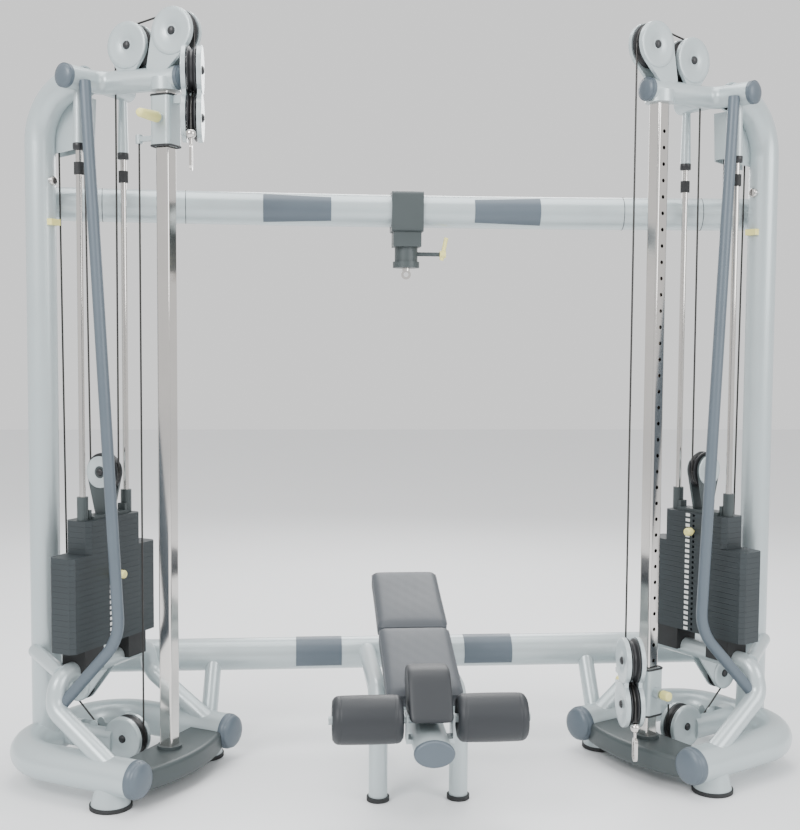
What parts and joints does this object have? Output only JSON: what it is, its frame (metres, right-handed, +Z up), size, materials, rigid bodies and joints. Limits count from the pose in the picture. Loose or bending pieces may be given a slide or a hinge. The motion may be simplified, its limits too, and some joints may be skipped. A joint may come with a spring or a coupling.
{
  "type": "cable crossover machine",
  "caption": "Cable crossover machine: weight towers with sliding pulley carriages, joined by a crossbar and a low rail, with a padded bench between them.",
  "frame": {"origin": "centre of the footprint's bounding box, on the floor", "axes": "+X to the machine's right along its length, +Y to its back, +Z up"},
  "size_m": [2.483, 1.074, 2.3339],
  "materials": {
    "paint": "satin",
    "dark_paint": "satin",
    "slate_paint": "satin",
    "chrome": "polished",
    "iron": "matte",
    "rubber": "matte",
    "upholstery": "matte",
    "yellow": "satin",
    "black_plastic": "satin",
    "cable_jacket": "satin"
  },
  "bodies": {
    "frame": {"base_frames": "paint", "base_beams": "dark_paint", "stack_arches": "paint", "uprights": "paint", "top_arms": "paint", "columns": "chrome", "handrails": "slate_paint", "cable_shrouds": "paint", "pulley_covers": "paint", "foot_pulley_arms": "paint", "tube_end_caps": "slate_paint", "foot_pads": "rubber", "guide_rods": "chrome", "rubber_stops": "rubber", "crossbar": "paint", "lower_rail": "paint", "info_plates": "slate_paint", "label_plates": "yellow", "frame_bolts": "chrome", "resting_plates_left": "iron", "resting_plates_right": "iron", "bench_frame": "paint", "seat_pad": "upholstery", "knee_pad": "upholstery", "trolley_body": "dark_paint", "cable_left": "cable_jacket", "cable_right": "cable_jacket"},
    "stack_left": {"lifted_plates_left": "iron", "stack_head_left": "dark_paint"},
    "pin_left": {"selector_pin_left": "yellow"},
    "carriage_body_left": {"carriage_left": "paint"},
    "plunger_body_left": {"plunger_left": "yellow"},
    "head_left": {"pulley_head_left": "paint"},
    "hook_left": {"snap_hook_left": "chrome"},
    "top_front_wheel_left": {"top_front_pulley_left": "black_plastic"},
    "top_rear_wheel_left": {"top_rear_pulley_left": "black_plastic"},
    "stack_wheel_left": {"stack_pulley_left": "black_plastic"},
    "low_rear_wheel_left": {"low_rear_pulley_left": "black_plastic"},
    "foot_wheel_left": {"foot_pulley_left": "black_plastic"},
    "head_upper_wheel_left": {"head_upper_pulley_left": "black_plastic"},
    "head_lower_wheel_left": {"head_lower_pulley_left": "black_plastic"},
    "stack_right": {"lifted_plates_right": "iron", "stack_head_right": "dark_paint"},
    "pin_right": {"selector_pin_right": "yellow"},
    "carriage_body_right": {"carriage_right": "paint"},
    "plunger_body_right": {"plunger_right": "yellow"},
    "head_right": {"pulley_head_right": "paint"},
    "hook_right": {"snap_hook_right": "chrome"},
    "top_front_wheel_right": {"top_front_pulley_right": "black_plastic"},
    "top_rear_wheel_right": {"top_rear_pulley_right": "black_plastic"},
    "stack_wheel_right": {"stack_pulley_right": "black_plastic"},
    "low_rear_wheel_right": {"low_rear_pulley_right": "black_plastic"},
    "foot_wheel_right": {"foot_pulley_right": "black_plastic"},
    "head_upper_wheel_right": {"head_upper_pulley_right": "black_plastic"},
    "head_lower_wheel_right": {"head_lower_pulley_right": "black_plastic"},
    "back_rest": {"back_pad": "upholstery"},
    "roller_left": {"leg_roller_left": "upholstery"},
    "roller_right": {"leg_roller_right": "upholstery"},
    "clamp_lever": {"trolley_lever": "yellow"},
    "accessory_hook": {"trolley_hook": "chrome"}
  },
  "joints": [
    {"name": "stack_lift_left", "type": "slide", "parent": "frame", "child": "stack_left", "axis": [0, 0, 1], "range_m": [0, 0.9], "deforming": ["cable_left"]},
    {"name": "selector_pin_left", "type": "slide", "parent": "stack_left", "child": "pin_left", "axis": [0.866, -0.5, 0], "range_m": [0, 0.05]},
    {"name": "carriage_slide_left", "type": "slide", "parent": "frame", "child": "carriage_body_left", "axis": [0, 0, 1], "range_m": [-1.75, 0], "deforming": ["cable_left"]},
    {"name": "plunger_left", "type": "slide", "parent": "carriage_body_left", "child": "plunger_body_left", "axis": [0.5, 0.866, 0], "range_m": [0, 0.012]},
    {"name": "head_swivel_left", "type": "hinge", "parent": "carriage_body_left", "child": "head_left", "pos_m": [-0.66182, 0.02, 2.068], "axis": [0, 0, 1], "range_deg": [-25, 140], "deforming": ["cable_left"]},
    {"name": "cable_pull_left", "type": "slide", "parent": "head_left", "child": "hook_left", "axis": [0, 0, -1], "range_m": [0, 1.8], "deforming": ["cable_left"]},
    {"name": "top_front_spin_left", "type": "hinge", "parent": "frame", "child": "top_front_wheel_left", "pos_m": [-0.71551, 0.051, 2.264], "axis": [0.5, 0.866, 0], "range_deg": [0, 1665]},
    {"name": "top_rear_spin_left", "type": "hinge", "parent": "frame", "child": "top_rear_wheel_left", "pos_m": [-0.85581, 0.132, 2.237], "axis": [0.5, 0.866, 0], "range_deg": [0, 1665]},
    {"name": "stack_spin_left", "type": "hinge", "parent": "stack_left", "child": "stack_wheel_left", "pos_m": [-0.958, 0.191, 0.948], "axis": [0.5, 0.866, 0], "range_deg": [-956, 0]},
    {"name": "low_rear_spin_left", "type": "hinge", "parent": "frame", "child": "low_rear_wheel_left", "pos_m": [-1.04807, 0.243, 0.263], "axis": [0.5, 0.866, 0], "range_deg": [0, 2181]},
    {"name": "foot_spin_left", "type": "hinge", "parent": "frame", "child": "foot_wheel_left", "pos_m": [-0.88872, 0.151, 0.117], "axis": [0.5, 0.866, 0], "range_deg": [0, 1619]},
    {"name": "head_upper_spin_left", "type": "hinge", "parent": "head_left", "child": "head_upper_wheel_left", "pos_m": [-0.66182, -0.042, 2.136], "axis": [1, 0, 0], "range_deg": [-1665, 0]},
    {"name": "head_lower_spin_left", "type": "hinge", "parent": "head_left", "child": "head_lower_wheel_left", "pos_m": [-0.66182, -0.042, 2], "axis": [1, 0, 0], "range_deg": [0, 1665]},
    {"name": "stack_lift_right", "type": "slide", "parent": "frame", "child": "stack_right", "axis": [0, 0, 1], "range_m": [0, 0.9], "deforming": ["cable_right"]},
    {"name": "selector_pin_right", "type": "slide", "parent": "stack_right", "child": "pin_right", "axis": [-0.866, -0.5, 0], "range_m": [0, 0.05]},
    {"name": "carriage_slide_right", "type": "slide", "parent": "frame", "child": "carriage_body_right", "axis": [0, 0, 1], "range_m": [0, 1.75], "deforming": ["cable_right"]},
    {"name": "plunger_right", "type": "slide", "parent": "carriage_body_right", "child": "plunger_body_right", "axis": [0.5, -0.866, 0], "range_m": [0, 0.012]},
    {"name": "head_swivel_right", "type": "hinge", "parent": "carriage_body_right", "child": "head_right", "pos_m": [0.66182, 0.02, 0.318], "axis": [0, 0, 1], "range_deg": [-140, 25], "deforming": ["cable_right"]},
    {"name": "cable_pull_right", "type": "slide", "parent": "head_right", "child": "hook_right", "axis": [0, -1, 0], "range_m": [0, 1.8], "deforming": ["cable_right"]},
    {"name": "top_front_spin_right", "type": "hinge", "parent": "frame", "child": "top_front_wheel_right", "pos_m": [0.71551, 0.051, 2.264], "axis": [0.5, -0.866, 0], "range_deg": [0, 1665]},
    {"name": "top_rear_spin_right", "type": "hinge", "parent": "frame", "child": "top_rear_wheel_right", "pos_m": [0.85581, 0.132, 2.237], "axis": [0.5, -0.866, 0], "range_deg": [0, 1665]},
    {"name": "stack_spin_right", "type": "hinge", "parent": "stack_right", "child": "stack_wheel_right", "pos_m": [0.958, 0.191, 0.948], "axis": [0.5, -0.866, 0], "range_deg": [-956, 0]},
    {"name": "low_rear_spin_right", "type": "hinge", "parent": "frame", "child": "low_rear_wheel_right", "pos_m": [1.04807, 0.243, 0.263], "axis": [0.5, -0.866, 0], "range_deg": [-2181, 0]},
    {"name": "foot_spin_right", "type": "hinge", "parent": "frame", "child": "foot_wheel_right", "pos_m": [0.88872, 0.151, 0.117], "axis": [0.5, -0.866, 0], "range_deg": [-1619, 0]},
    {"name": "head_upper_spin_right", "type": "hinge", "parent": "head_right", "child": "head_upper_wheel_right", "pos_m": [0.66182, -0.042, 0.386], "axis": [1, 0, 0], "range_deg": [-1665, 0]},
    {"name": "head_lower_spin_right", "type": "hinge", "parent": "head_right", "child": "head_lower_wheel_right", "pos_m": [0.66182, -0.042, 0.25], "axis": [1, 0, 0], "range_deg": [0, 1665]},
    {"name": "back_pad_tilt", "type": "hinge", "parent": "frame", "child": "back_rest", "pos_m": [0, 0.061, 0.487], "axis": [1, 0, 0], "range_deg": [0, 60]},
    {"name": "leg_roller_spin_left", "type": "hinge", "parent": "frame", "child": "roller_left", "pos_m": [-0.17, -0.412, 0.338], "axis": [1, 0, 0], "continuous": true},
    {"name": "leg_roller_spin_right", "type": "hinge", "parent": "frame", "child": "roller_right", "pos_m": [0.17, -0.412, 0.338], "axis": [1, 0, 0], "continuous": true},
    {"name": "clamp_lever_turn", "type": "hinge", "parent": "frame", "child": "clamp_lever", "pos_m": [0.122, 0.399, 1.647], "axis": [1, 0, 0], "range_deg": [0, 90]},
    {"name": "accessory_hook_turn", "type": "hinge", "parent": "frame", "child": "accessory_hook", "pos_m": [0, 0.399, 1.597], "axis": [0, 0, 1], "continuous": true}
  ],
  "couplings": [
    {"joint": "cable_pull_left", "follows": "stack_lift_left", "ratio": 2},
    {"joint": "top_front_spin_left", "follows": "stack_lift_left", "rad_per_m": 32.258},
    {"joint": "top_rear_spin_left", "follows": "stack_lift_left", "rad_per_m": 32.258},
    {"joint": "stack_spin_left", "follows": "stack_lift_left", "rad_per_m": -18.519},
    {"joint": "low_rear_spin_left", "follows": "carriage_slide_left", "rad_per_m": -21.739},
    {"joint": "foot_spin_left", "follows": "carriage_slide_left", "rad_per_m": -16.129},
    {"joint": "head_upper_spin_left", "follows": "stack_lift_left", "rad_per_m": -32.258},
    {"joint": "head_lower_spin_left", "follows": "stack_lift_left", "rad_per_m": 32.258},
    {"joint": "cable_pull_right", "follows": "stack_lift_right", "ratio": 2},
    {"joint": "top_front_spin_right", "follows": "stack_lift_right", "rad_per_m": 32.258},
    {"joint": "top_rear_spin_right", "follows": "stack_lift_right", "rad_per_m": 32.258},
    {"joint": "stack_spin_right", "follows": "stack_lift_right", "rad_per_m": -18.519},
    {"joint": "low_rear_spin_right", "follows": "carriage_slide_right", "rad_per_m": -21.739},
    {"joint": "foot_spin_right", "follows": "carriage_slide_right", "rad_per_m": -16.129},
    {"joint": "head_upper_spin_right", "follows": "stack_lift_right", "rad_per_m": -32.258},
    {"joint": "head_lower_spin_right", "follows": "stack_lift_right", "rad_per_m": 32.258}
  ]
}
